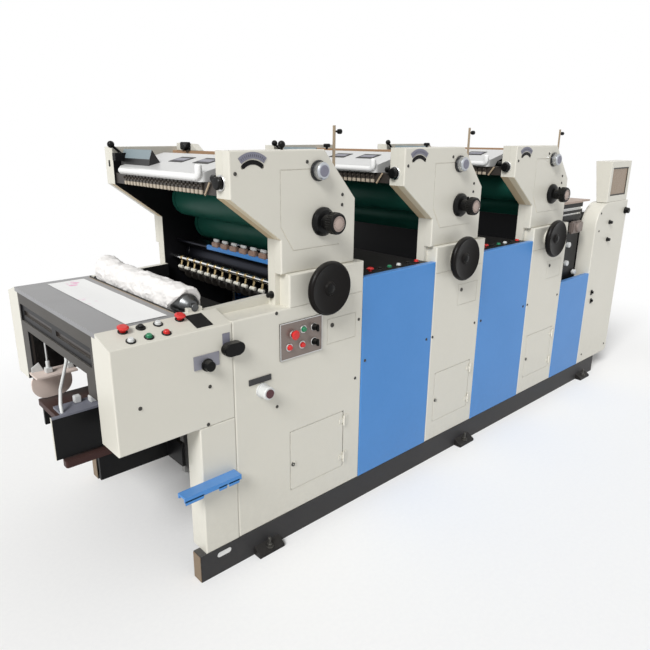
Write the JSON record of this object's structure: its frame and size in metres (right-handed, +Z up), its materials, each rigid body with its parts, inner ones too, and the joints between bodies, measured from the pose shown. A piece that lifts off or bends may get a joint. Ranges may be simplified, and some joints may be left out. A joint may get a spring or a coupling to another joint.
{
  "type": "offset printing press",
  "caption": "Sheet-fed offset printing press with inline printing units on one base, a pile delivery at one end and a feeder with a screen box at the other.",
  "frame": {"origin": "bottom centre of the whole press, on the floor", "axes": "+X from the delivery to the feeder, operator side faces -Y, +Z up"},
  "size_m": [4.048, 1.18, 1.7403],
  "materials": {
    "cream_paint": "satin cream paint",
    "blue_paint": "satin blue paint",
    "base_grey": "dark grey paint",
    "frame_dark": "dark painted casting",
    "black_paint": "satin black paint",
    "steel": "ground steel",
    "grey_board": "grey paint",
    "roller_green": "dark green rubber blanket",
    "black_rubber": "black rubber",
    "black_plastic": "black moulding",
    "red_plastic": "red moulding",
    "green_plastic": "green moulding",
    "white_plastic": "white moulding",
    "paper_wrap": "crumpled white paper",
    "red_board": "dark red painted board",
    "brown_panel": "brown-black paint",
    "wheel_cream": "cream moulding"
  },
  "bodies": {
    "press": {"base_rails": "base_grey", "base_beams": "base_grey", "levelling_feet": "black_paint", "unit_frames": "frame_dark", "upper_covers": "cream_paint", "lower_covers": "cream_paint", "drive_covers": "cream_paint", "top_posts": "cream_paint", "ink_rollers": "black_rubber", "ink_fountains": "steel", "ink_guards": "black_paint", "blue_panels": "blue_paint", "gap_trays": "black_paint", "delivery_boxes": "cream_paint", "delivery_posts": "cream_paint", "delivery_table": "grey_board", "front_panel": "brown_panel", "delivery_cheeks": "cream_paint", "delivery_roller": "paper_wrap", "delivery_floor": "black_paint", "delivery_wheels": "wheel_cream", "pile_guides": "steel", "jogger_shafts": "steel", "joggers": "black_paint", "foot_step": "blue_paint", "control_plates": "steel", "red_buttons": "red_plastic", "green_buttons": "green_plastic", "white_buttons": "white_plastic", "black_knobs": "black_plastic", "feeder_covers": "cream_paint", "screen_box": "cream_paint", "feeder_head": "black_paint", "feeder_boards": "steel"},
    "unit1_drive": {"unit1_handwheel": "black_plastic", "unit1_impression_cylinder": "steel"},
    "unit1_blanket": {"unit1_blanket_cylinder": "roller_green"},
    "unit1_plate": {"unit1_plate_cylinder": "roller_green"},
    "unit1_door": {"unit1_door": "cream_paint"},
    "unit1_water_knob": {"unit1_water_knob": "black_plastic"},
    "unit1_ink_knob": {"unit1_ink_knob": "white_plastic"},
    "unit1_lever": {"unit1_lever": "black_plastic"},
    "unit2_drive": {"unit2_handwheel": "black_plastic", "unit2_impression_cylinder": "steel"},
    "unit2_blanket": {"unit2_blanket_cylinder": "roller_green"},
    "unit2_plate": {"unit2_plate_cylinder": "roller_green"},
    "unit2_door": {"unit2_door": "cream_paint"},
    "unit2_water_knob": {"unit2_water_knob": "black_plastic"},
    "unit2_ink_knob": {"unit2_ink_knob": "white_plastic"},
    "unit2_lever": {"unit2_lever": "black_plastic"},
    "unit3_drive": {"unit3_handwheel": "black_plastic", "unit3_impression_cylinder": "steel"},
    "unit3_blanket": {"unit3_blanket_cylinder": "roller_green"},
    "unit3_plate": {"unit3_plate_cylinder": "roller_green"},
    "unit3_door": {"unit3_door": "cream_paint"},
    "unit3_water_knob": {"unit3_water_knob": "black_plastic"},
    "unit3_ink_knob": {"unit3_ink_knob": "white_plastic"},
    "unit3_lever": {"unit3_lever": "black_plastic"},
    "pile": {"pile_board": "red_board", "pile_carriage": "black_paint"}
  },
  "joints": [
    {"name": "unit1_drive_turn", "type": "hinge", "parent": "press", "child": "unit1_drive", "pos_m": [-0.984, 0.018, 1.112], "axis": [0, 1, 0], "continuous": true},
    {"name": "unit1_blanket_turn", "type": "hinge", "parent": "press", "child": "unit1_blanket", "pos_m": [-0.92129, 0.018, 1.27538], "axis": [0, 1, 0], "continuous": true},
    {"name": "unit1_plate_turn", "type": "hinge", "parent": "press", "child": "unit1_plate", "pos_m": [-1.04063, 0.018, 1.40336], "axis": [0, 1, 0], "continuous": true},
    {"name": "unit1_door_swing", "type": "hinge", "parent": "press", "child": "unit1_door", "pos_m": [-0.838, -0.5175, 0.3655], "axis": [0, 0, 1], "range_deg": [0, 100]},
    {"name": "unit1_water_knob_turn", "type": "hinge", "parent": "press", "child": "unit1_water_knob", "pos_m": [-0.961, -0.492, 1.371], "axis": [0, 1, 0], "continuous": true},
    {"name": "unit1_ink_knob_turn", "type": "hinge", "parent": "press", "child": "unit1_ink_knob", "pos_m": [-0.986, -0.492, 1.57029], "axis": [0, 1, 0], "continuous": true},
    {"name": "unit1_lever_swing", "type": "hinge", "parent": "press", "child": "unit1_lever", "pos_m": [-1.325, 0.443, 1.58229], "axis": [0, 1, 0], "range_deg": [-20, 30]},
    {"name": "unit2_drive_turn", "type": "hinge", "parent": "press", "child": "unit2_drive", "pos_m": [-0.048, 0.018, 1.112], "axis": [0, 1, 0], "continuous": true},
    {"name": "unit2_blanket_turn", "type": "hinge", "parent": "press", "child": "unit2_blanket", "pos_m": [0.01471, 0.018, 1.27538], "axis": [0, 1, 0], "continuous": true},
    {"name": "unit2_plate_turn", "type": "hinge", "parent": "press", "child": "unit2_plate", "pos_m": [-0.10464, 0.018, 1.40336], "axis": [0, 1, 0], "continuous": true},
    {"name": "unit2_door_swing", "type": "hinge", "parent": "press", "child": "unit2_door", "pos_m": [0.154, -0.5175, 0.3655], "axis": [0, 0, 1], "range_deg": [0, 100]},
    {"name": "unit2_water_knob_turn", "type": "hinge", "parent": "press", "child": "unit2_water_knob", "pos_m": [-0.025, -0.492, 1.371], "axis": [0, 1, 0], "continuous": true},
    {"name": "unit2_ink_knob_turn", "type": "hinge", "parent": "press", "child": "unit2_ink_knob", "pos_m": [-0.05, -0.492, 1.57029], "axis": [0, 1, 0], "continuous": true},
    {"name": "unit2_lever_swing", "type": "hinge", "parent": "press", "child": "unit2_lever", "pos_m": [-0.389, 0.443, 1.58229], "axis": [0, 1, 0], "range_deg": [-20, 30]},
    {"name": "unit3_drive_turn", "type": "hinge", "parent": "press", "child": "unit3_drive", "pos_m": [0.888, 0.018, 1.112], "axis": [0, 1, 0], "continuous": true},
    {"name": "unit3_blanket_turn", "type": "hinge", "parent": "press", "child": "unit3_blanket", "pos_m": [0.95071, 0.018, 1.27538], "axis": [0, 1, 0], "continuous": true},
    {"name": "unit3_plate_turn", "type": "hinge", "parent": "press", "child": "unit3_plate", "pos_m": [0.83137, 0.018, 1.40336], "axis": [0, 1, 0], "continuous": true},
    {"name": "unit3_door_swing", "type": "hinge", "parent": "press", "child": "unit3_door", "pos_m": [1.09, -0.5175, 0.3655], "axis": [0, 0, 1], "range_deg": [0, 100]},
    {"name": "unit3_water_knob_turn", "type": "hinge", "parent": "press", "child": "unit3_water_knob", "pos_m": [0.911, -0.492, 1.371], "axis": [0, 1, 0], "continuous": true},
    {"name": "unit3_ink_knob_turn", "type": "hinge", "parent": "press", "child": "unit3_ink_knob", "pos_m": [0.886, -0.492, 1.57029], "axis": [0, 1, 0], "continuous": true},
    {"name": "unit3_lever_swing", "type": "hinge", "parent": "press", "child": "unit3_lever", "pos_m": [0.547, 0.443, 1.58229], "axis": [0, 1, 0], "range_deg": [-20, 30]},
    {"name": "pile_lift", "type": "slide", "parent": "press", "child": "pile", "axis": [0, 0, 1], "range_m": [-0.4, 0]}
  ],
  "couplings": [
    {"joint": "unit1_blanket_turn", "follows": "unit1_drive_turn", "ratio": -1},
    {"joint": "unit1_plate_turn", "follows": "unit1_drive_turn", "ratio": 1},
    {"joint": "unit2_drive_turn", "follows": "unit1_drive_turn", "ratio": 1},
    {"joint": "unit2_blanket_turn", "follows": "unit1_drive_turn", "ratio": -1},
    {"joint": "unit2_plate_turn", "follows": "unit1_drive_turn", "ratio": 1},
    {"joint": "unit3_drive_turn", "follows": "unit1_drive_turn", "ratio": 1},
    {"joint": "unit3_blanket_turn", "follows": "unit1_drive_turn", "ratio": -1},
    {"joint": "unit3_plate_turn", "follows": "unit1_drive_turn", "ratio": 1}
  ]
}
